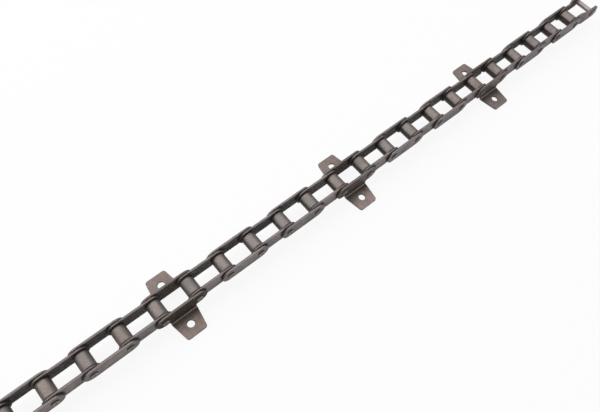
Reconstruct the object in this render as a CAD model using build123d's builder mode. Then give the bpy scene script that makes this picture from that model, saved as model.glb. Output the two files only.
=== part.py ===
from build123d import *

import os
from math import cos, radians

# Roller conveyor chain with bent attachment plates, sizes in millimetres.
# X runs along the chain from its open bushing end to its pin end, Y across it and Z up.
# The origin is the centre of the first bushing, and every pin axis lies on the X axis.

# Chain
pitch = 41.4
inner_link_count = 11
attachment_every = 3  # every third outer link carries attachment plates

# Side plates
plate_thickness = 2.5
plate_height = 21.0
inner_width = 19.8  # between the two inner plates
plate_side_gap = 0.4  # between an inner and an outer plate

# Riveted pins
pin_diameter = 7.2
rivet_head_overhang = 0.8  # rivet head past the pin, all round
rivet_head_height = 1.5
rivet_head_chamfer = 0.5

# Bushings and rollers
pin_clearance = 0.1  # radial, pin in its bushing
bushing_wall = 1.6
bushing_side_gap = 0.15  # end of a bushing to each outer plate
roller_clearance = 0.1  # radial, bushing in its roller
roller_diameter = 16.5
roller_side_gap = 0.25  # roller to each inner plate
roller_chamfer = 0.6

# Attachment tabs
tab_drop = 4.4  # plate's lower edge to the start of the bend
tab_shoulder_radius = 2.0  # where the drop leaves the plate's lower edge
tab_bend_radius = 1.5  # inside of the bend
tab_root_length = 32.4  # along the chain, at the bend
tab_end_length = 24.4  # along the chain, at the outer edge
tab_depth = 24.85  # outside of the plate to the outer edge
tab_corner_radius = 3.0
tab_hole_depth = 12.0  # outside of the plate to the hole
tab_hole_diameter = 8.4

# Offset link
crank_clearance = 2.5  # outer plate's round end to the start of the crank
crank_length = 10.0
crank_bend_radius = 4.0

# Connecting pin and its cotter
end_pin_head_overhang = 2.4  # head past the pin, all round
end_pin_head_height = 2.0
end_pin_chamfer = 0.5
cotter_diameter = 2.0
cotter_clearance = 0.1  # radial, cotter in its hole
cotter_face_gap = 0.5  # far sidebar to the cotter
cotter_end_margin = 1.6  # cotter hole to the tip of the pin
cotter_leg_length = 3.5
cotter_leg_splay = 25.0  # degrees
cotter_throat_radius = 1.0
cotter_throat_angle = 60.0  # degrees

# Places that follow from the sizes above
end_radius = plate_height / 2
inner_face = inner_width / 2
inner_outer_face = inner_face + plate_thickness
outer_face = inner_outer_face + plate_side_gap
outer_outer_face = outer_face + plate_thickness
bushing_bore = pin_diameter + 2 * pin_clearance
bushing_diameter = bushing_bore + 2 * bushing_wall
bushing_end = outer_face - bushing_side_gap
roller_bore = bushing_diameter + 2 * roller_clearance
roller_width = inner_width - 2 * roller_side_gap
rivet_head_diameter = pin_diameter + 2 * rivet_head_overhang
end_pin_head_diameter = pin_diameter + 2 * end_pin_head_overhang
tab_bend_y = outer_outer_face + tab_bend_radius
tab_edge_y = outer_outer_face + tab_depth
tab_hole_y = outer_outer_face + tab_hole_depth
tab_bend_z = -end_radius - tab_drop
tab_top = tab_bend_z - tab_bend_radius
crank_start = end_radius + crank_clearance
offset_link_start = 2 * inner_link_count * pitch
end_pin_x = offset_link_start + pitch
cotter_y = outer_outer_face + cotter_face_gap + cotter_diameter / 2
end_pin_tip_y = cotter_y + cotter_diameter / 2 + cotter_end_margin


def upright_plane(x, y):
    """A plane across the chain at (x, y), seen from the near side: its own axes are X and Z."""
    return Plane(origin=(x, y, 0), x_dir=(1, 0, 0), z_dir=(0, -1, 0))


def link_outline(start_hole, end_hole):
    """Sketch of a side plate one pitch long, with round ends and a hole on each pin axis."""
    with Locations((pitch / 2, 0)):
        SlotCenterToCenter(pitch, plate_height)
    with Locations((0, 0)):
        Circle(start_hole / 2, mode=Mode.SUBTRACT)
    with Locations((pitch, 0)):
        Circle(end_hole / 2, mode=Mode.SUBTRACT)


def plate_pair(start, face, hole):
    """Two flat side plates of the link that starts at the given pin axis."""
    with BuildPart() as plates:
        with BuildSketch(upright_plane(start, -face)):
            link_outline(hole, hole)
        extrude(amount=plate_thickness)
        mirror(about=Plane.XZ)
    return plates.part


def attachment_pair(start, face, hole):
    """Two side plates whose lower edges drop and are bent outwards into flat tabs with a hole."""
    middle = start + pitch / 2
    bend_axis = Axis((middle, -tab_bend_y, tab_bend_z), (-1, 0, 0))
    with BuildPart() as plates:
        with BuildSketch(upright_plane(start, -face)) as outline:
            link_outline(hole, hole)
            with Locations((pitch / 2, tab_bend_z / 2)):
                Rectangle(tab_root_length, -tab_bend_z)
            shoulders = outline.vertices().group_by(Axis.Y)[1].sort_by(Axis.X)[1:3]
            fillet(shoulders, tab_shoulder_radius)
        extrude(amount=plate_thickness)
        # The bend turns the sheet through a quarter circle.
        with BuildSketch(Plane.XY.offset(tab_bend_z)):
            with Locations((middle, -face - plate_thickness / 2)):
                Rectangle(tab_root_length, plate_thickness)
        revolve(axis=bend_axis, revolution_arc=90)
        # The flat tab tapers towards its outer edge.
        with BuildSketch(Plane.XY.offset(tab_top)) as tab:
            with BuildLine():
                Polyline(
                    (middle - tab_root_length / 2, -tab_bend_y),
                    (middle - tab_end_length / 2, -tab_edge_y),
                    (middle + tab_end_length / 2, -tab_edge_y),
                    (middle + tab_root_length / 2, -tab_bend_y),
                    close=True,
                )
            make_face()
            fillet(tab.vertices().group_by(Axis.Y)[0], tab_corner_radius)
            with Locations((middle, -tab_hole_y)):
                Circle(tab_hole_diameter / 2, mode=Mode.SUBTRACT)
        extrude(amount=-plate_thickness)
        mirror(about=Plane.XZ)
    return plates.part


def bushing(x):
    """A bushing on the pin axis at x, pressed through two inner plates and standing proud of both."""
    with BuildPart() as tube:
        with BuildSketch(upright_plane(x, 0)):
            Circle(bushing_diameter / 2)
            Circle(bushing_bore / 2, mode=Mode.SUBTRACT)
        extrude(amount=bushing_end, both=True)
    return tube.part


def roller(x):
    """A roller that turns on the bushing at x, with its rims chamfered."""
    with BuildPart() as ring:
        with BuildSketch(upright_plane(x, 0)):
            Circle(roller_diameter / 2)
        extrude(amount=roller_width / 2, both=True)
        chamfer(ring.edges().filter_by(GeomType.CIRCLE), roller_chamfer)
        with BuildSketch(upright_plane(x, 0)):
            Circle(roller_bore / 2)
        extrude(amount=roller_width / 2, both=True, mode=Mode.SUBTRACT)
    return ring.part


def rivet_pin(x):
    """A pin at x that is riveted over on the outside of both outer plates."""
    with BuildPart() as pin:
        with BuildSketch(upright_plane(x, 0)):
            Circle(pin_diameter / 2)
        extrude(amount=outer_outer_face, both=True)
        with BuildSketch(upright_plane(x, -outer_outer_face)):
            Circle(rivet_head_diameter / 2)
        extrude(amount=rivet_head_height)
        chamfer(pin.edges().group_by(Axis.Y)[0], rivet_head_chamfer)
        mirror(about=Plane.XZ)
    return pin.part


def offset_sidebars(start):
    """Two cranked plates: inner plates at their start and outer plates at their end."""
    crank_end = crank_start + crank_length
    with BuildPart() as sidebars:
        with BuildSketch(Plane.XY.offset(-end_radius)):
            with BuildLine():
                inside = Polyline(
                    (start - end_radius, -inner_face),
                    (start + crank_start, -inner_face),
                    (start + crank_end, -outer_face),
                    (start + pitch + end_radius, -outer_face),
                )
                fillet(inside.vertices()[1:3], crank_bend_radius)
                offset(amount=plate_thickness, side=Side.RIGHT)
            make_face()
        extrude(amount=plate_height)
        with BuildSketch(upright_plane(start, 0)):
            link_outline(bushing_diameter, pin_diameter)
        extrude(amount=outer_outer_face, mode=Mode.INTERSECT)
        mirror(about=Plane.XZ)
    return sidebars.part


def end_pin(x):
    """The connecting pin: a head on the near side and a cotter hole beyond the far sidebar."""
    with BuildPart() as pin:
        with BuildSketch(upright_plane(x, end_pin_tip_y)):
            Circle(pin_diameter / 2)
        extrude(amount=end_pin_tip_y + outer_outer_face)
        with BuildSketch(upright_plane(x, -outer_outer_face)):
            Circle(end_pin_head_diameter / 2)
        extrude(amount=end_pin_head_height)
        chamfer(pin.edges().group_by(Axis.Y)[0], end_pin_chamfer)
        chamfer(pin.edges().group_by(Axis.Y)[-1], end_pin_chamfer)
        with BuildSketch(Plane.XY):
            with Locations((x, cotter_y)):
                Circle(cotter_diameter / 2 + cotter_clearance)
        extrude(amount=pin_diameter, both=True, mode=Mode.SUBTRACT)
    return pin.part


def end_cotter(x):
    """A split pin: one wire looped into an eye, with two legs that are splayed below."""
    leg_x = cotter_diameter / 4
    wire_radius = cotter_diameter / 4 - cotter_clearance / 2
    eye_radius = (cotter_throat_radius + leg_x) / cos(radians(cotter_throat_angle)) - cotter_throat_radius
    eye_angle = 180 + 2 * cotter_throat_angle
    top = pin_diameter / 2 + cotter_clearance
    with BuildPart() as cotter:
        with BuildLine(upright_plane(x, cotter_y)):
            near_leg = Line((-leg_x, -top), (-leg_x, top))
            throat = JernArc(near_leg @ 1, near_leg % 1, cotter_throat_radius, cotter_throat_angle)
            eye = JernArc(throat @ 1, throat % 1, eye_radius, -eye_angle)
            far_throat = JernArc(eye @ 1, eye % 1, cotter_throat_radius, cotter_throat_angle)
            far_leg = Line(far_throat @ 1, (leg_x, -top))
            PolarLine(near_leg @ 0, cotter_leg_length, -90 - cotter_leg_splay)
            PolarLine(far_leg @ 1, cotter_leg_length, -90 + cotter_leg_splay)
        with BuildSketch(Plane.XY.offset(top)):
            with Locations((x - leg_x, cotter_y)):
                Circle(wire_radius)
        sweep(transition=Transition.ROUND)
    return cotter.part


def save(name, *pieces):
    """Writes the solids of one sub-part as one STEP file."""
    solids = [solid for piece in pieces for solid in piece.solids()]
    node = solids[0] if len(solids) == 1 else Compound(solids)
    node.label = name
    export_step(node, f"parts/{name}.step")


os.makedirs("parts", exist_ok=True)

for number in range(1, inner_link_count + 1):
    start = (2 * number - 2) * pitch
    plates = plate_pair(start, inner_face, bushing_diameter)
    save(f"inner_link_{number:02d}", plates, bushing(start), bushing(start + pitch))

for number in range(1, inner_link_count + 1):
    start = (2 * number - 1) * pitch
    if number % attachment_every == 0:
        save(f"attachment_plates_{number:02d}", attachment_pair(start, outer_face, pin_diameter))
    else:
        save(f"outer_plates_{number:02d}", plate_pair(start, outer_face, pin_diameter))
    save(f"rivet_pins_{number:02d}", rivet_pin(start), rivet_pin(start + pitch))

for number in range(1, 2 * inner_link_count + 2):
    save(f"roller_{number:02d}", roller((number - 1) * pitch))

save("offset_sidebars", offset_sidebars(offset_link_start))
save("offset_bushing", bushing(offset_link_start))
save("end_pin", end_pin(end_pin_x))
save("end_cotter", end_cotter(end_pin_x))
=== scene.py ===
import math

import bmesh
import bpy
from bpy.props import FloatProperty, FloatVectorProperty, IntProperty, PointerProperty
from mathutils import Matrix, Vector


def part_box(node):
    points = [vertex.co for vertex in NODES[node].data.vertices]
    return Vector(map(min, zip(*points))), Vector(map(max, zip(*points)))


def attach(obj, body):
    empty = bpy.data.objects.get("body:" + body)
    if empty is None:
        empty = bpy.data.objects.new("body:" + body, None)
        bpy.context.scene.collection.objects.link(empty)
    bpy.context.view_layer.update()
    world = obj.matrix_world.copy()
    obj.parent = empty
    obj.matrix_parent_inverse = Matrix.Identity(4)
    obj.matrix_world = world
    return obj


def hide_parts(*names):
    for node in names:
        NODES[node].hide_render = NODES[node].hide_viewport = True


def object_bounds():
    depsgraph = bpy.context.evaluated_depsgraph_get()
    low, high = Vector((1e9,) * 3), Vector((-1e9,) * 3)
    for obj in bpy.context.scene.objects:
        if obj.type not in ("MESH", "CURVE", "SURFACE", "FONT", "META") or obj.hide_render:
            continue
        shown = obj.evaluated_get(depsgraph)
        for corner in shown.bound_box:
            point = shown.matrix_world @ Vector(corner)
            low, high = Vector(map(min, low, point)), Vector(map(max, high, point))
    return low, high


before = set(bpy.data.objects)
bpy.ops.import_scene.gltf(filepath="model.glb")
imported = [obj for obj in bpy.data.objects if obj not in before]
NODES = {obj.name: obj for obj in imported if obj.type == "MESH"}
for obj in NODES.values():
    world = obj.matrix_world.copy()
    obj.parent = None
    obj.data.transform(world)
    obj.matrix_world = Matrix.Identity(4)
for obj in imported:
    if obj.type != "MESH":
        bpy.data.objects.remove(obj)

bl_info = {
    "name": "Conveyor chain finish",
    "version": (1, 0, 0),
    "blender": (4, 5, 0),
    "location": "3D View > Sidebar > Chain",
    "description": "Steel finishes, studio stage and camera for a length of roller conveyor chain",
    "category": "Object",
}

CAD_BOX = [list(corner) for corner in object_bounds()]


def across(node, axis):
    """Size of a CAD node along one axis, in metres."""
    low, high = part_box(node)
    return high[axis] - low[axis]


# Sizes of the chain, in metres.
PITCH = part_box("roller_02")[0].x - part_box("roller_01")[0].x
ROLLER_HALF_WIDTH = across("roller_01", 1) / 2
ROLLER_RADIUS = across("roller_01", 0) / 2
END_RADIUS = across("outer_plates_01", 2) / 2  # of a plate's round end
INNER_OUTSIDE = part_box("inner_link_01")[1].y  # the ends of its bushings
OUTER_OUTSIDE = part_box("outer_plates_01")[1].y
PLATE_THICKNESS = 0.0025
PLATE_GAP = 0.0004  # between an inner and an outer plate
LAYER = PLATE_THICKNESS + PLATE_GAP
TAB_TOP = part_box("attachment_plates_03")[0].z + PLATE_THICKNESS
RIVET_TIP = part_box("rivet_pins_01")[1].y
RIVET_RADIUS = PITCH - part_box("rivet_pins_01")[0].x
SHANK_RADIUS = 0.0036  # of a riveted pin
LEAST_SLOPE = 0.0006  # width of a riveted head outside its crown
LEAST_FLOOR = 0.0004  # height of a riveted head under its dish
SAME_PLACE = 1e-6  # points that are closer together count as one

# The steel.
METALLIC = 0.45  # under its scale and its thin film of oil
WORN_METALLIC = 0.85  # where the scale has rubbed off
WIRE_METALLIC = 0.9
SPECULAR = 0.25
EDGE_SAMPLES = 6
EDGE_WEAR_AND_HIGHLIGHT = 0.65  # how bright a rubbed edge and its painted highlight are
TORN_FROM, TORN_TO = 0.0018, 0.0022  # depth in a sheared rim where it turns from cut to torn
RAGGED = 0.0012  # how far the edge of a torn stretch, and of a painted shade band, wanders
ROLLER_END_OIL_AND_SHADE = 0.65  # most oil and painted shade near a roller's ends
ROLLER_SEAM_SHADE = 0.91  # most painted shade where a roller meets the plates and on its flanks

# The stage.
WHITE = (1.0, 1.0, 1.0, 1.0)
FLOOR_GAP = 0.0003  # between the tabs and the floor
FLOOR_GLOW = 0.91  # share of the floor's look that is its own white
LAMP_ALONG, LAMP_ACROSS = -1.10, 1.40  # from the chain's middle
LAMP_STRETCH = 2.5  # the soft light's long side against its short one
SENSOR_WIDTH = 36.0  # in millimetres
CLIP_START, CLIP_END = 0.01, 100.0


# ---------------------------------------------------------------- settings


COLOUR = {"subtype": "COLOR", "size": 3, "min": 0.0, "max": 1.0}


class ChainFinish(bpy.types.PropertyGroup):
    """Colours and wear of the chain's steel."""

    plate_colour: FloatVectorProperty(
        name="Side plates",
        description="Oiled rolled steel of the inner and outer plates",
        default=(0.190, 0.163, 0.160),
        **COLOUR,
    )
    attachment_colour: FloatVectorProperty(
        name="Attachment plates",
        description="Brown and olive steel of the bent plates",
        default=(0.188, 0.155, 0.147),
        **COLOUR,
    )
    roller_colour: FloatVectorProperty(
        name="Rollers",
        description="Warm grey steel of the rollers",
        default=(0.163, 0.140, 0.129),
        **COLOUR,
    )
    pin_colour: FloatVectorProperty(
        name="Pins",
        description="Hardened steel of the riveted pins and the connecting pin",
        default=(0.218, 0.196, 0.188),
        **COLOUR,
    )
    cotter_colour: FloatVectorProperty(
        name="Cotter",
        description="Drawn wire of the split pin",
        default=(0.300, 0.290, 0.275),
        **COLOUR,
    )
    # Also the colour of the painted highlights on edges, along the bend of a tab and on the crowns
    # of riveted heads.
    worn_and_highlight_colour: FloatVectorProperty(
        name="Worn edges and highlights",
        description="Bright steel where edges have rubbed, and painted highlights",
        default=(0.420, 0.395, 0.370),
        **COLOUR,
    )
    # Also the colour of the painted shade inside the links, round the joints, down the plates and
    # tabs, and on the rollers and riveted heads.
    grime_and_shade_colour: FloatVectorProperty(
        name="Oil, grime and painted shade",
        description="Dark film that gathers round the joints, and painted shade",
        default=(0.030, 0.026, 0.022),
        **COLOUR,
    )
    edge_radius: FloatProperty(
        name="Edge radius",
        description="Softening of the stamped edges",
        unit="LENGTH",
        min=0.0,
        max=0.002,
        default=0.00035,
    )


class ChainRivets(bpy.types.PropertyGroup):
    """Shape of the riveted pin heads."""

    crown_radius: FloatProperty(
        name="Crown radius",
        description="Radius of the highest ring of a riveted head",
        unit="LENGTH",
        min=0.002,
        max=RIVET_RADIUS - LEAST_SLOPE,
        default=0.0029,
    )
    dish_depth: FloatProperty(
        name="Dish depth",
        description="Depth of the hollow that riveting leaves in the middle of a head",
        unit="LENGTH",
        min=0.0,
        max=RIVET_TIP - OUTER_OUTSIDE - LEAST_FLOOR,
        default=0.0007,
    )
    sides: IntProperty(
        name="Sides",
        description="Number of faces round a riveted pin",
        min=12,
        max=128,
        default=40,
    )


class ChainStage(bpy.types.PropertyGroup):
    """Floor, soft light and camera."""

    floor_colour: FloatVectorProperty(
        name="Floor",
        description="Pale studio floor",
        default=(0.75, 0.75, 0.75),
        **COLOUR,
    )
    floor_size: FloatProperty(
        name="Floor size",
        description="Side of the square floor",
        unit="LENGTH",
        min=1.0,
        default=12.0,
    )
    lamp_size: FloatProperty(
        name="Lamp size",
        description="Short side of the soft light, which is two and a half times as long",
        unit="LENGTH",
        min=0.1,
        default=2.6,
    )
    lamp_height: FloatProperty(
        name="Lamp height",
        description="Height of the soft light above the floor",
        unit="LENGTH",
        min=0.3,
        default=2.0,
    )
    lamp_power: FloatProperty(
        name="Lamp power",
        description="Power of the soft light",
        unit="POWER",
        min=0.0,
        default=133.0,
    )
    surroundings: FloatProperty(
        name="Surroundings",
        description="Strength of the light from all round",
        subtype="FACTOR",
        min=0.0,
        max=2.0,
        default=0.30,
    )
    camera_place: FloatVectorProperty(
        name="Camera place",
        description="Where the camera stands",
        subtype="TRANSLATION",
        size=3,
        default=(3.7293 * PITCH, -5.1173 * PITCH, 14.5023 * PITCH),
    )
    camera_azimuth: FloatProperty(
        name="Camera azimuth",
        description="Direction the camera looks, from +Y towards +X",
        subtype="ANGLE",
        default=math.radians(49.067),
    )
    camera_drop: FloatProperty(
        name="Camera drop",
        description="Angle of the camera's view below the horizon",
        subtype="ANGLE",
        default=math.radians(61.340),
    )
    camera_roll: FloatProperty(
        name="Camera roll",
        description="Turn of the camera about its own line of sight",
        subtype="ANGLE",
        default=math.radians(9.909),
    )
    camera_lens: FloatProperty(
        name="Lens",
        description="Focal length on a sensor 36 mm wide, in millimetres",
        min=10.0,
        max=200.0,
        default=35.81,
    )


# ---------------------------------------------------------------- node trees


class NodeTree:
    """Fills the node tree of one material or world."""

    def __init__(self, owner):
        owner.use_nodes = True
        self.tree = owner.node_tree
        self.tree.nodes.clear()

    def add(self, kind, inputs=None, **settings):
        """Adds a node. Its inputs are given by name or by number."""
        node = self.tree.nodes.new(kind)
        for key, value in settings.items():
            setattr(node, key, value)
        for key, value in (inputs or {}).items():
            self.put(node.inputs[key], value)
        return node

    def put(self, socket, value):
        """Links a socket to an input, or sets the input's plain value."""
        if isinstance(value, bpy.types.NodeSocket):
            self.tree.links.new(value, socket)
        else:
            socket.default_value = value

    def maths(self, operation, first, second=0.0, third=0.0, clamp=False):
        inputs = {0: first, 1: second, 2: third}
        return self.add("ShaderNodeMath", inputs, operation=operation, use_clamp=clamp).outputs[0]

    def times(self, first, second):
        return self.maths("MULTIPLY", first, second)

    def most(self, first, *others):
        """The largest of several values."""
        for other in others:
            first = self.maths("MAXIMUM", first, other)
        return first

    def blend(self, share, first, second):
        """Mixes two shaders."""
        return self.add("ShaderNodeMixShader", {0: share, 1: first, 2: second}).outputs[0]

    def seen(self):
        """1 for rays that see the background straight, in a reflection or through glass."""
        path = self.add("ShaderNodeLightPath").outputs
        return self.most(
            path["Is Camera Ray"], path["Is Glossy Ray"], path["Is Transmission Ray"]
        )


def tinted(colour, red, green, blue):
    """A colour with each of its channels multiplied."""
    return tuple(min(part * share, 1.0) for part, share in zip(colour, (red, green, blue)))


class Steel(NodeTree):
    """The nodes of one steel finish, laid over its base colour one pattern after another.

    Every pattern reads Object coordinates, in metres, so the scale of a noise is in waves
    per metre.
    """

    def __init__(self, name, colour, finish):
        self.material = bpy.data.materials.new(name)
        super().__init__(self.material)
        self.colour = colour
        self.base = colour
        self.settings = finish
        self.coordinates = self.add("ShaderNodeTexCoord").outputs["Object"]
        self.geometry = self.add("ShaderNodeNewGeometry").outputs
        self.x, self.y, self.z = self.split(self.coordinates)
        self.reach = self.maths("ABSOLUTE", self.y)
        self.along, self.outward, self.up = self.facing()
        self.outside = self.spread(self.outward, 0.5, 0.9)

    def split(self, vector):
        """X, Y and Z of a vector."""
        return self.add("ShaderNodeSeparateXYZ", {0: vector}).outputs

    def facing(self):
        """How far a face looks along its link, away from the middle plane, and up: -1 to 1."""
        turned = self.add(
            "ShaderNodeVectorTransform",
            {0: self.geometry["True Normal"]},
            vector_type="NORMAL",
            convert_from="WORLD",
            convert_to="OBJECT",
        )
        along, sideways, up = self.split(turned.outputs[0])
        return along, self.times(sideways, self.maths("SIGN", self.y)), up

    def past_pin(self):
        """How far along the chain the nearest pin axis is, in metres."""
        return self.maths("ABSOLUTE", self.maths("WRAP", self.x, PITCH / 2, -PITCH / 2))

    def from_pin(self):
        """Distance from the nearest pin axis, in metres."""
        sides = (self.maths("POWER", side, 2.0) for side in (self.past_pin(), self.z))
        return self.maths("SQRT", self.maths("ADD", *sides))

    def stretched(self, scale, turn=(0.0, 0.0, 0.0)):
        """Coordinates for a noise of scale 1 that is drawn out along an axis."""
        inputs = {"Vector": self.coordinates, "Scale": scale, "Rotation": turn}
        return self.add("ShaderNodeMapping", inputs).outputs["Vector"]

    def noise(self, scale, detail=2.0, roughness=0.5, distortion=0.0, vector=None):
        inputs = {
            "Vector": vector or self.coordinates,
            "Scale": scale,
            "Detail": detail,
            "Roughness": roughness,
            "Distortion": distortion,
        }
        return self.add("ShaderNodeTexNoise", inputs).outputs["Fac"]

    def spread(self, value, low, high, to_low=0.0, to_high=1.0):
        """Maps low..high smoothly to to_low..to_high."""
        inputs = dict(enumerate((value, low, high, to_low, to_high)))
        node = self.add("ShaderNodeMapRange", inputs, interpolation_type="SMOOTHSTEP")
        return node.outputs["Result"]

    def tint(self, red, green, blue):
        """The steel's own colour with each channel multiplied."""
        return tinted(self.colour, red, green, blue)

    def paint(self, colour, share, strength=None):
        """Lays a colour over the base colour."""
        if strength is not None:
            share = self.times(share, strength)
        node = self.add("ShaderNodeMix", data_type="RGBA")
        for name, value in (("Factor", share), ("A", self.base), ("B", colour)):
            socket = next(s for s in node.inputs if s.name == name and s.enabled)
            if name != "Factor" and not isinstance(value, bpy.types.NodeSocket):
                value = (*value[:3], 1.0)
            self.put(socket, value)
        self.base = next(s for s in node.outputs if s.enabled)

    def rub_and_highlight_edges(self, scale, low, high):
        """Rounds the edges and brightens them in places, as wear and painted edge highlight: the
        normal and that mask.
        """
        radius = {"Radius": self.settings.edge_radius}
        soft = self.add("ShaderNodeBevel", radius, samples=EDGE_SAMPLES).outputs["Normal"]
        normals = {0: soft, 1: self.geometry["Normal"]}
        dot = self.add("ShaderNodeVectorMath", normals, operation="DOT_PRODUCT")
        near = self.maths("SUBTRACT", 1.0, dot.outputs["Value"], clamp=True)
        rubbed = self.spread(self.noise(scale, detail=3.0, roughness=0.6), low, high)
        wear_and_highlight = self.times(self.spread(near, 0.03, 0.22), rubbed)
        # Paints the edges bright: wear and painted highlight together.
        self.paint(self.settings.worn_and_highlight_colour, wear_and_highlight, EDGE_WEAR_AND_HIGHLIGHT)
        return soft, wear_and_highlight

    def metal(self, wear_and_highlight, oil_and_shade):
        """How metallic a point is: most on rubbed and highlighted edges, not at all under thick
        oil and deep painted shade.
        """
        bare = self.maths("MULTIPLY_ADD", wear_and_highlight, WORN_METALLIC - METALLIC, METALLIC)
        return self.times(bare, self.spread(oil_and_shade, 0.0, 0.9, 1.0, 0.0))

    def relief(self, normal, *layers):
        """Bumps on a normal: each layer is a pattern, its height in metres and its strength."""
        for height, distance, strength in layers:
            inputs = {"Height": height, "Distance": distance, "Strength": strength}
            if normal is not None:
                inputs["Normal"] = normal
            normal = self.add("ShaderNodeBump", inputs).outputs["Normal"]
        return normal

    def surface(self, roughness, normal, metallic):
        """Ends the tree and gives the finished material."""
        inputs = {
            "Base Color": self.base,
            "Metallic": metallic,
            "Roughness": roughness,
            "Specular IOR Level": SPECULAR,
            "Normal": normal,
        }
        shader = self.add("ShaderNodeBsdfPrincipled", inputs)
        self.add("ShaderNodeOutputMaterial", {"Surface": shader.outputs[0]})
        return self.material


# ---------------------------------------------------------------- finishes


class RolledSteel(Steel):
    """Oiled rolled plate of the links and their attachments."""

    def __init__(self, name, colour, finish, bent):
        super().__init__(name, colour, finish)
        self.distance = self.from_pin()
        self.level = self.spread(self.up, 0.6, 0.9)
        self.rim = self.spread(self.maths("ABSOLUTE", self.outward), 0.6, 0.2)
        if bent:
            # Only above the bend, where the face itself turns as a rim does.
            above = self.spread(self.z, TAB_TOP + 0.0039, TAB_TOP + 0.0054)
            self.rim = self.times(self.rim, above)
        self.patches = self.noise(42.0, detail=4.0, roughness=0.6, distortion=0.4)
        self.specks = self.noise(900.0, detail=3.0, roughness=0.65)
        drawn_out = self.stretched((55.0, 1500.0, 1500.0))
        self.lines = self.noise(1.0, detail=3.0, roughness=0.6, vector=drawn_out)

    def mottle(self, brown, olive):
        """Mill scale, temper colours, rolling lines, blots, specks and scratches."""
        self.base = self.tint(0.83, 0.84, 0.90)
        self.paint(self.tint(1.04, 1.02, 1.00), self.spread(self.patches, 0.38, 0.64))
        broad = self.noise(13.0, detail=1.0)
        self.paint(self.tint(1.24, 1.05, 0.90), self.spread(broad, 0.40, 0.62), brown)
        if olive:
            turned = self.stretched((1.0, 1.0, 1.0), (0.4, 0.9, 0.2))
            spots = self.noise(70.0, detail=3.0, roughness=0.6, distortion=0.8, vector=turned)
            far, near = OUTER_OUTSIDE + 0.016, OUTER_OUTSIDE + 0.004
            greener = self.spread(self.reach, far, near, olive * 0.65, olive)
            self.paint(self.tint(0.88, 0.94, 0.78), self.spread(spots, 0.42, 0.60), greener)
            self.paint(self.tint(1.12, 1.01, 0.99), self.spread(spots, 0.52, 0.34), olive)
        lines = self.spread(self.lines, 0.30, 0.72, to_high=0.25)
        self.paint(self.tint(0.60, 0.60, 0.60), lines)
        blots = self.noise(230.0, detail=3.0, roughness=0.6, distortion=0.3)
        self.paint(self.tint(0.55, 0.53, 0.50), self.spread(blots, 0.55, 0.70, to_high=0.35))
        specks = self.spread(self.specks, 0.56, 0.72, to_high=0.50)
        self.paint(self.settings.grime_and_shade_colour, specks)
        slanted = self.stretched((34.0, 1300.0, 1300.0), (0.0, 0.32, 0.0))
        scratches = self.noise(1.0, vector=slanted)
        self.paint(self.settings.worn_and_highlight_colour, self.spread(scratches, 0.64, 0.74), 0.30)

    def shear_rims(self):
        """Sheared rims, smooth towards the outside and torn towards the inside."""
        depth = self.maths("SUBTRACT", OUTER_OUTSIDE, self.reach)
        depth = self.maths("WRAP", depth, LAYER, 0.0)
        ragged = self.maths("MULTIPLY_ADD", self.noise(500.0), RAGGED, depth)
        torn = self.spread(ragged, TORN_FROM, TORN_TO)
        self.torn = self.times(torn, self.rim)
        cut_lines = self.stretched((1500.0, 60.0, 1500.0))
        self.shear = self.times(self.noise(1.0, roughness=0.6, vector=cut_lines), self.rim)
        self.paint(self.tint(0.72, 0.73, 0.74), self.rim, 0.7)
        self.paint(self.tint(0.72, 0.68, 0.66), self.torn, 0.45)

    def joint_shade(self):
        """Painted shade inside the links, lighter towards the top, and on the round ends; painted
        shade with oil round the pins and where plates lap.
        """
        inner_face = self.spread(self.reach, INNER_OUTSIDE + 0.00030, INNER_OUTSIDE + 0.00015)
        # Painted shade on the inside faces, lighter towards the top.
        inside = self.times(
            self.spread(self.outward, -0.3, -0.8),
            self.spread(self.z, -0.002, 0.009, 0.87, 0.69),
        )
        ends = self.times(
            self.spread(self.maths("ABSOLUTE", self.along), 0.30, 0.75),
            self.spread(inner_face, 0.0, 1.0, 0.25, 0.75),
        )
        pin_ring = self.spread(
            self.distance, RIVET_RADIUS + 0.0014, RIVET_RADIUS + 0.0001, to_high=0.20
        )
        # Painted shadow of the outer plate's end on the inner plate, with oil.
        lap = self.spread(
            self.distance, END_RADIUS + 0.0027, END_RADIUS + 0.0005, to_high=0.85
        )
        lap = self.times(lap, inner_face)
        return self.most(inside, ends, self.times(self.most(pin_ring, lap), self.outside))

    def seam_shade(self):
        """Painted shade on the rims where a plate meets the next plate or a roller."""
        gap = self.maths("SUBTRACT", self.reach, OUTER_OUTSIDE - LAYER + PLATE_GAP / 2)
        by_plate = self.spread(self.maths("ABSOLUTE", gap), 0.0012, 0.0006)
        by_roller = self.spread(
            self.reach, ROLLER_HALF_WIDTH + 0.0013, ROLLER_HALF_WIDTH + 0.0007, to_high=0.9
        )
        by_pin = self.spread(self.distance, END_RADIUS + 0.0040, END_RADIUS + 0.0013)
        return self.times(self.times(self.most(by_plate, by_roller), by_pin), self.rim)

    def low_shade(self, bend):
        """Painted shade that deepens down the outside of a link."""
        low = self.spread(self.z, 0.004, -0.012, 0.10 + bend, 0.40 + bend)
        return self.times(low, self.outside)

    def tab_shade(self, bend):
        """Painted shade down the outside of the attachments and at the root of the tabs, and a
        darker tone on the far tabs.
        """
        # Deepest on the attachment nearest the open end.
        open_end = self.spread(self.x, 10 * PITCH, 7 * PITCH, to_high=0.52)
        sides = self.maths("MULTIPLY_ADD", open_end, self.outside, self.low_shade(bend))
        root = self.spread(
            self.reach, OUTER_OUTSIDE + 0.012, OUTER_OUTSIDE + 0.001, to_high=bend * 0.6
        )
        far_tab = self.spread(self.y, OUTER_OUTSIDE, OUTER_OUTSIDE + 0.004, to_high=0.24)
        return self.most(sides, self.times(self.most(root, far_tab), self.level))

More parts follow.
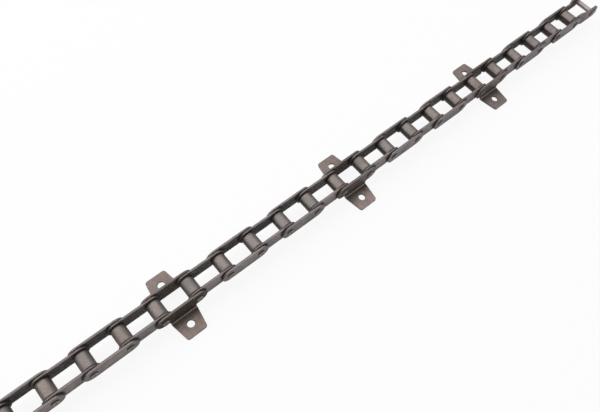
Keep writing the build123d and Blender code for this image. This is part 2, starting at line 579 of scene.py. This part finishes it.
    def paint_crease_highlight(self):
        """Paints a highlight along the inside of the bend, where the plate turns out into the tab.
        """
        crease = self.times(self.spread(self.up, 0.15, 0.45), self.spread(self.up, 0.98, 0.80))
        low = self.spread(self.z, TAB_TOP + 0.0064, TAB_TOP + 0.0029)
        self.paint(self.settings.worn_and_highlight_colour, self.times(crease, low), 0.75)


def rolled_steel(name, colour, finish, brown=0.35, olive=0.0, bend=0.0):
    """Oiled rolled plate, with painted shade and highlights.

    brown and olive say how strong its temper colours are, and bend how much more painted shade
    lies on a plate that is bent into a tab.
    """
    steel = RolledSteel(name, colour, finish, bent=bend > 0)
    steel.mottle(brown, olive)
    steel.shear_rims()
    soft, wear_and_highlight = steel.rub_and_highlight_edges(330.0, 0.32, 0.62)

    low = steel.tab_shade(bend) if bend else steel.low_shade(bend)
    streaks = steel.spread(steel.noise(260.0), 0.25, 0.55, 0.55, 1.0)
    # Painted shade inside the links, at the joints, seams and down the outside, with oil round the
    # pins and where plates lap; all streaked.
    oil_and_shade = steel.times(steel.most(steel.joint_shade(), steel.seam_shade(), low), streaks)
    if bend:
        steel.paint(tinted(finish.grime_and_shade_colour, 1.30, 0.97, 0.86), oil_and_shade)
        steel.paint_crease_highlight()
    else:
        steel.paint(finish.grime_and_shade_colour, oil_and_shade)

    rough = steel.spread(steel.patches, 0.35, 0.65, 0.50, 0.38)
    rough = steel.maths("ADD", rough, steel.spread(steel.specks, 0.50, 0.72, to_high=0.16))
    rough = steel.maths("SUBTRACT", rough, steel.times(wear_and_highlight, 0.08))
    rough = steel.maths("ADD", rough, steel.times(steel.torn, 0.15))
    rough = steel.maths("ADD", rough, steel.times(oil_and_shade, 0.30), clamp=True)
    normal = steel.relief(
        soft,
        (steel.lines, 12e-6, 0.8),
        (steel.shear, 60e-6, 0.8),
        (steel.specks, 30e-6, 0.9),
        (steel.patches, 150e-6, 0.6),
    )
    return steel.surface(rough, normal, steel.metal(wear_and_highlight, oil_and_shade))


def turned_steel(name, colour, finish, mottle, rough_low=0.36, rough_high=0.52, shade_and_oil=None):
    """Turned and tumbled steel of the rollers and pins, with fine rings round it.

    The last argument says how much oil and painted shade lies where: on a roller, on a riveted
    head, or none.
    """
    steel = Steel(name, colour, finish)
    patches = steel.noise(75.0, detail=4.0, roughness=0.6, distortion=0.5)
    specks = steel.noise(1100.0, detail=3.0, roughness=0.6)
    rings = steel.noise(1.0, vector=steel.stretched((90.0, 2600.0, 90.0)))
    steel.base = steel.tint(0.97, 1.00, 1.03)
    broad = steel.spread(steel.noise(19.0, detail=0.0), 0.40, 0.60)
    steel.paint(steel.tint(1.04, 0.99, 0.97), broad)
    steel.paint(steel.tint(0.68, 0.64, 0.60), steel.spread(patches, 0.46, 0.68), mottle)
    steel.paint(steel.tint(0.60, 0.60, 0.60), steel.spread(rings, 0.35, 0.75, to_high=0.20))
    steel.paint(finish.grime_and_shade_colour, steel.spread(specks, 0.58, 0.72, to_high=0.24))
    soft, wear_and_highlight = steel.rub_and_highlight_edges(450.0, 0.30, 0.60)
    oil_and_shade = shade_and_oil(steel) if shade_and_oil else 0.0
    # Oil and painted shade on a roller or a riveted head.
    steel.paint(finish.grime_and_shade_colour, oil_and_shade)

    rough = steel.spread(patches, 0.35, 0.70, rough_low, rough_high)
    specked = steel.spread(specks, 0.50, 0.72, to_high=0.15)
    rough = steel.maths("ADD", rough, specked, clamp=True)
    normal = steel.relief(soft, (rings, 10e-6, 0.7), (specks, 30e-6, 0.8), (patches, 80e-6, 0.6))
    return steel.surface(rough, normal, steel.metal(wear_and_highlight, oil_and_shade))


def roller_shade_and_oil(steel):
    """Oil and painted shade near a roller's ends, painted shadow along its seams with the plates
    and painted shade on its flanks.
    """
    film = steel.spread(steel.noise(420.0, detail=3.0), 0.35, 0.62)
    near_end = steel.spread(
        steel.reach, ROLLER_HALF_WIDTH - 0.0030, ROLLER_HALF_WIDTH - 0.0006, to_high=ROLLER_END_OIL_AND_SHADE
    )
    seam = steel.spread(
        steel.reach,
        ROLLER_HALF_WIDTH - 0.0018,
        ROLLER_HALF_WIDTH - 0.0009,
        to_high=ROLLER_SEAM_SHADE,
    )
    ragged = steel.maths("MULTIPLY_ADD", steel.noise(260.0), RAGGED, steel.past_pin())
    # Painted shade on the flanks.
    flank = steel.spread(
        ragged, ROLLER_RADIUS * 0.90, ROLLER_RADIUS * 0.98, to_high=ROLLER_SEAM_SHADE
    )
    return steel.most(steel.times(near_end, film), seam, flank)


def rivet_shade_and_highlight(steel):
    """Painted shade on the flank of a riveted head, painted shade and oil in its dish, and a
    painted highlight with rubbing on the crown between.
    """
    crown = bpy.context.scene.chain_rivets.crown_radius
    radius = steel.from_pin()
    ring = steel.times(
        steel.spread(radius, crown - 0.0007, crown - 0.0001),
        steel.spread(radius, crown + 0.0008, crown + 0.0002),
    )
    # Painted highlight and wear on the crown.
    steel.paint(steel.settings.worn_and_highlight_colour, steel.times(ring, steel.outside), 0.25)
    # Painted shade on the flank.
    flank = steel.times(
        steel.spread(steel.outward, 0.88, 0.60, to_high=0.95),
        steel.spread(steel.reach, OUTER_OUTSIDE - 0.0002, OUTER_OUTSIDE),
    )
    # Painted shade and oil in the dish.
    dish = steel.spread(radius, crown - 0.0001, crown - 0.0013, to_high=0.35)
    return steel.most(flank, steel.times(dish, steel.outside))


def drawn_wire(name, colour, finish):
    """Bright drawn wire with lengthwise scratches and a little oil."""
    steel = Steel(name, colour, finish)
    drawn_out = steel.stretched((3200.0, 3200.0, 260.0))
    lines = steel.noise(1.0, detail=3.0, roughness=0.6, vector=drawn_out)
    patches = steel.noise(350.0, detail=3.0)
    steel.paint(steel.tint(0.70, 0.68, 0.64), steel.spread(patches, 0.40, 0.65))
    steel.paint(finish.grime_and_shade_colour, steel.spread(lines, 0.35, 0.75, to_high=0.35))
    rough = steel.spread(patches, 0.35, 0.65, 0.28, 0.44)
    return steel.surface(rough, steel.relief(None, (lines, 10e-6, 0.8)), WIRE_METALLIC)


# ---------------------------------------------------------------- pieces


def dress(names, material):
    """Gives one material to CAD nodes."""
    for name in names:
        data = NODES[name].data
        data.materials.clear()
        data.materials.append(material)


def named(*starts):
    """The CAD nodes whose names start so."""
    found = sorted(name for name in NODES if name.startswith(starts))
    if not found:
        raise RuntimeError(f"the frame has no node that starts with {starts}")
    return found


def new_object(scene, name, data):
    """An object at the origin, in the scene."""
    item = bpy.data.objects.new(name, data)
    scene.collection.objects.link(item)
    return item


def new_mesh(name, shape, material):
    """Ends a bmesh as a mesh with one material."""
    mesh = bpy.data.meshes.new(name)
    shape.to_mesh(mesh)
    shape.free()
    mesh.materials.append(material)
    return mesh


# ---------------------------------------------------------------- operators


class CHAIN_OT_side_plates(bpy.types.Operator):
    """Finish the flat plates of the inner and outer links and their bushings"""

    bl_idname = "chain.side_plates"
    bl_label = "Side Plates"

    def execute(self, context):
        finish = context.scene.chain_finish
        material = rolled_steel("plate_steel", finish.plate_colour, finish)
        dress(named("inner_link", "outer_plates"), material)
        return {"FINISHED"}


class CHAIN_OT_attachments(bpy.types.Operator):
    """Finish the outer plates that are bent into tabs"""

    bl_idname = "chain.attachments"
    bl_label = "Attachment Plates"

    def execute(self, context):
        finish = context.scene.chain_finish
        material = rolled_steel(
            "attachment_steel", finish.attachment_colour, finish, brown=0.4, olive=0.7, bend=0.4
        )
        dress(named("attachment_plates"), material)
        return {"FINISHED"}


class CHAIN_OT_rollers(bpy.types.Operator):
    """Finish the rollers"""

    bl_idname = "chain.rollers"
    bl_label = "Rollers"

    def execute(self, context):
        finish = context.scene.chain_finish
        material = turned_steel(
            "roller_steel", finish.roller_colour, finish, mottle=0.25, shade_and_oil=roller_shade_and_oil
        )
        dress(named("roller_"), material)
        return {"FINISHED"}


class CHAIN_OT_rivet_pins(bpy.types.Operator):
    """Turn the riveted pins with their domed and dished heads"""

    bl_idname = "chain.rivet_pins"
    bl_label = "Riveted Pins"

    # Shares of the dish's radius and depth, from its middle out.
    DISH = ((0.0, 0.0), (0.25, 0.03), (0.5, 0.2), (0.72, 0.55), (0.88, 0.88))
    # Shares of the way from the crown to the rim, and of the head's height, going down.
    DOME = ((0.30, 0.93), (0.62, 0.76), (0.86, 0.52), (0.98, 0.24), (1.0, 0.0))

    def execute(self, context):
        scene = context.scene
        finish = scene.chain_finish
        material = turned_steel(
            "pin_steel", finish.pin_colour, finish, mottle=0.4, shade_and_oil=rivet_shade_and_highlight
        )
        for node in named("rivet_pins"):
            number = node[-2:]
            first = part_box(node)[0].x + RIVET_RADIUS
            shape = bmesh.new()
            for x in (first, first + PITCH):
                self.turn_pin(shape, x, scene.chain_rivets)
            mesh = new_mesh(f"riveted_pins_{number}", shape, material)
            piece = new_object(scene, f"riveted_pins_{number}", mesh)
            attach(piece, f"outer_link_{number}")
            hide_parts(node)
        return {"FINISHED"}

    def turn_pin(self, shape, x, rivets):
        """Spins one pin's outline: radius against distance from the chain's middle plane."""
        height = RIVET_TIP - OUTER_OUTSIDE
        crown, depth = rivets.crown_radius, rivets.dish_depth
        slope = RIVET_RADIUS - crown
        head = [(crown * out, height - depth + depth * rise) for out, rise in self.DISH]
        head.append((crown, height))
        head += [(crown + slope * out, height * rise) for out, rise in self.DOME]
        head.append((SHANK_RADIUS, 0.0))
        line = [(radius, OUTER_OUTSIDE + rise) for radius, rise in head]
        line += [(radius, -reach) for radius, reach in reversed(line)]
        verts = [shape.verts.new((x + radius, reach, 0.0)) for radius, reach in line]
        edges = [shape.edges.new(pair) for pair in zip(verts, verts[1:])]
        bmesh.ops.spin(
            shape,
            geom=verts + edges,
            cent=(x, 0.0, 0.0),
            axis=(0.0, 1.0, 0.0),
            angle=math.tau,
            steps=rivets.sides,
            use_merge=True,
        )
        bmesh.ops.remove_doubles(shape, verts=shape.verts, dist=SAME_PLACE)
        bmesh.ops.recalc_face_normals(shape, faces=shape.faces)
        for face in shape.faces:
            face.smooth = True
        for edge in shape.edges:
            # Sharp where the head stands on the plate.
            edge.smooth = any(
                abs(abs(vert.co.y) - OUTER_OUTSIDE) > SAME_PLACE for vert in edge.verts
            )


class CHAIN_OT_offset_link(bpy.types.Operator):
    """Finish the cranked plates of the offset link and their bushing"""

    bl_idname = "chain.offset_link"
    bl_label = "Offset Link"

    def execute(self, context):
        finish = context.scene.chain_finish
        material = rolled_steel("offset_steel", finish.plate_colour, finish, brown=0.45)
        dress(["offset_sidebars", "offset_bushing"], material)
        return {"FINISHED"}


class CHAIN_OT_connecting_pin(bpy.types.Operator):
    """Finish the connecting pin and its split pin"""

    bl_idname = "chain.connecting_pin"
    bl_label = "Connecting Pin"

    LIGHTER = 1.25  # than a riveted pin

    def execute(self, context):
        finish = context.scene.chain_finish
        colour = tinted(finish.pin_colour, self.LIGHTER, self.LIGHTER, self.LIGHTER)
        material = turned_steel(
            "bare_pin_steel", colour, finish, mottle=0.3, rough_low=0.30, rough_high=0.44
        )
        dress(["end_pin"], material)
        dress(["end_cotter"], drawn_wire("cotter_steel", finish.cotter_colour, finish))
        return {"FINISHED"}


class CHAIN_OT_stage(bpy.types.Operator):
    """Set up the pale floor, the soft light and the camera"""

    bl_idname = "chain.stage"
    bl_label = "Stage"

    def execute(self, context):
        scene = context.scene
        stage = scene.chain_stage
        low, high = Vector(CAD_BOX[0]), Vector(CAD_BOX[1])
        ground = (low + high) / 2
        ground.z = low.z
        self.lay_floor(scene, stage, ground)
        self.hang_light(scene, stage, ground)
        self.light_surroundings(scene, stage)
        self.place_camera(scene, stage)
        scene.view_settings.view_transform = "Standard"
        return {"FINISHED"}

    @staticmethod
    def lay_floor(scene, stage, ground):
        """A floor that looks nearly white and still takes a shadow."""
        material = bpy.data.materials.new("floor_paper")
        nodes = NodeTree(material)
        paper = nodes.add("ShaderNodeBsdfDiffuse", {"Color": (*stage.floor_colour, 1.0)})
        glow = nodes.add("ShaderNodeEmission", {"Strength": 1.0})
        share = nodes.times(nodes.seen(), FLOOR_GLOW)
        both = nodes.blend(share, paper.outputs[0], glow.outputs[0])
        nodes.add("ShaderNodeOutputMaterial", {"Surface": both})

        plane = bmesh.new()
        bmesh.ops.create_grid(plane, x_segments=1, y_segments=1, size=stage.floor_size / 2)
        place = (ground.x, ground.y, ground.z - FLOOR_GAP)
        bmesh.ops.translate(plane, verts=plane.verts, vec=place)
        floor = new_object(scene, "floor", new_mesh("floor", plane, material))

    @staticmethod
    def hang_light(scene, stage, ground):
        """A long soft light above and behind the chain, turned square towards its line."""
        lamp = bpy.data.lights.new("soft_light", "AREA")
        lamp.shape = "RECTANGLE"
        lamp.size = stage.lamp_size * LAMP_STRETCH
        lamp.size_y = stage.lamp_size
        lamp.energy = stage.lamp_power
        light = new_object(scene, "soft_light", lamp)
        light.location = (
            ground.x + LAMP_ALONG,
            ground.y + LAMP_ACROSS,
            ground.z + stage.lamp_height,
        )
        aim = Vector((light.location.x, ground.y, ground.z)) - light.location
        light.rotation_euler = aim.to_track_quat("-Z", "Y").to_euler()

    @staticmethod
    def light_surroundings(scene, stage):
        """White where it is seen, and dimmer as a light."""
        world = bpy.data.worlds.new("studio")
        scene.world = world
        nodes = NodeTree(world)
        dim, bright = (
            nodes.add("ShaderNodeBackground", {"Color": WHITE, "Strength": strength}).outputs[0]
            for strength in (stage.surroundings, 1.0)
        )
        nodes.add("ShaderNodeOutputWorld", {"Surface": nodes.blend(nodes.seen(), dim, bright)})

    @staticmethod
    def place_camera(scene, stage):
        """Turns the camera by its azimuth, its drop and then its roll."""
        data = bpy.data.cameras.new("camera")
        data.sensor_width = SENSOR_WIDTH
        data.lens = stage.camera_lens
        data.clip_start, data.clip_end = CLIP_START, CLIP_END
        azimuth, drop, roll = stage.camera_azimuth, stage.camera_drop, stage.camera_roll
        level = math.cos(drop)
        forward = Vector((level * math.sin(azimuth), level * math.cos(azimuth), -math.sin(drop)))
        right = forward.cross(Vector((0.0, 0.0, 1.0))).normalized()
        up = right.cross(forward)
        turned_right = math.cos(roll) * right + math.sin(roll) * up
        turned_up = math.cos(roll) * up - math.sin(roll) * right
        turn = Matrix((turned_right, turned_up, -forward)).transposed()
        camera = new_object(scene, "camera", data)
        camera.matrix_world = Matrix.Translation(stage.camera_place) @ turn.to_4x4()
        scene.camera = camera


GROUPS = {"chain_finish": ChainFinish, "chain_rivets": ChainRivets, "chain_stage": ChainStage}
OPERATORS = (
    CHAIN_OT_side_plates,
    CHAIN_OT_attachments,
    CHAIN_OT_rollers,
    CHAIN_OT_rivet_pins,
    CHAIN_OT_offset_link,
    CHAIN_OT_connecting_pin,
    CHAIN_OT_stage,
)


class CHAIN_PT_panel(bpy.types.Panel):
    """Lists the chain's pieces and its stage"""

    bl_label = "Conveyor Chain"
    bl_idname = "CHAIN_PT_panel"
    bl_space_type = "VIEW_3D"
    bl_region_type = "UI"
    bl_category = "Chain"

    def draw(self, context):
        layout = self.layout
        for operator in OPERATORS:
            layout.operator(operator.bl_idname)
        for key in GROUPS:
            group = getattr(context.scene, key)
            box = layout.box()
            for name in group.__annotations__:
                box.prop(group, name)


CLASSES = (*GROUPS.values(), *OPERATORS, CHAIN_PT_panel)


def register():
    for item in CLASSES:
        bpy.utils.register_class(item)
    for key, group in GROUPS.items():
        setattr(bpy.types.Scene, key, PointerProperty(type=group))


def unregister():
    for key in GROUPS:
        delattr(bpy.types.Scene, key)
    for item in reversed(CLASSES):
        bpy.utils.unregister_class(item)


def main():
    register()
    for operator in OPERATORS:
        group, name = operator.bl_idname.split(".")
        getattr(getattr(bpy.ops, group), name)()


if __name__ == "__main__":
    main()
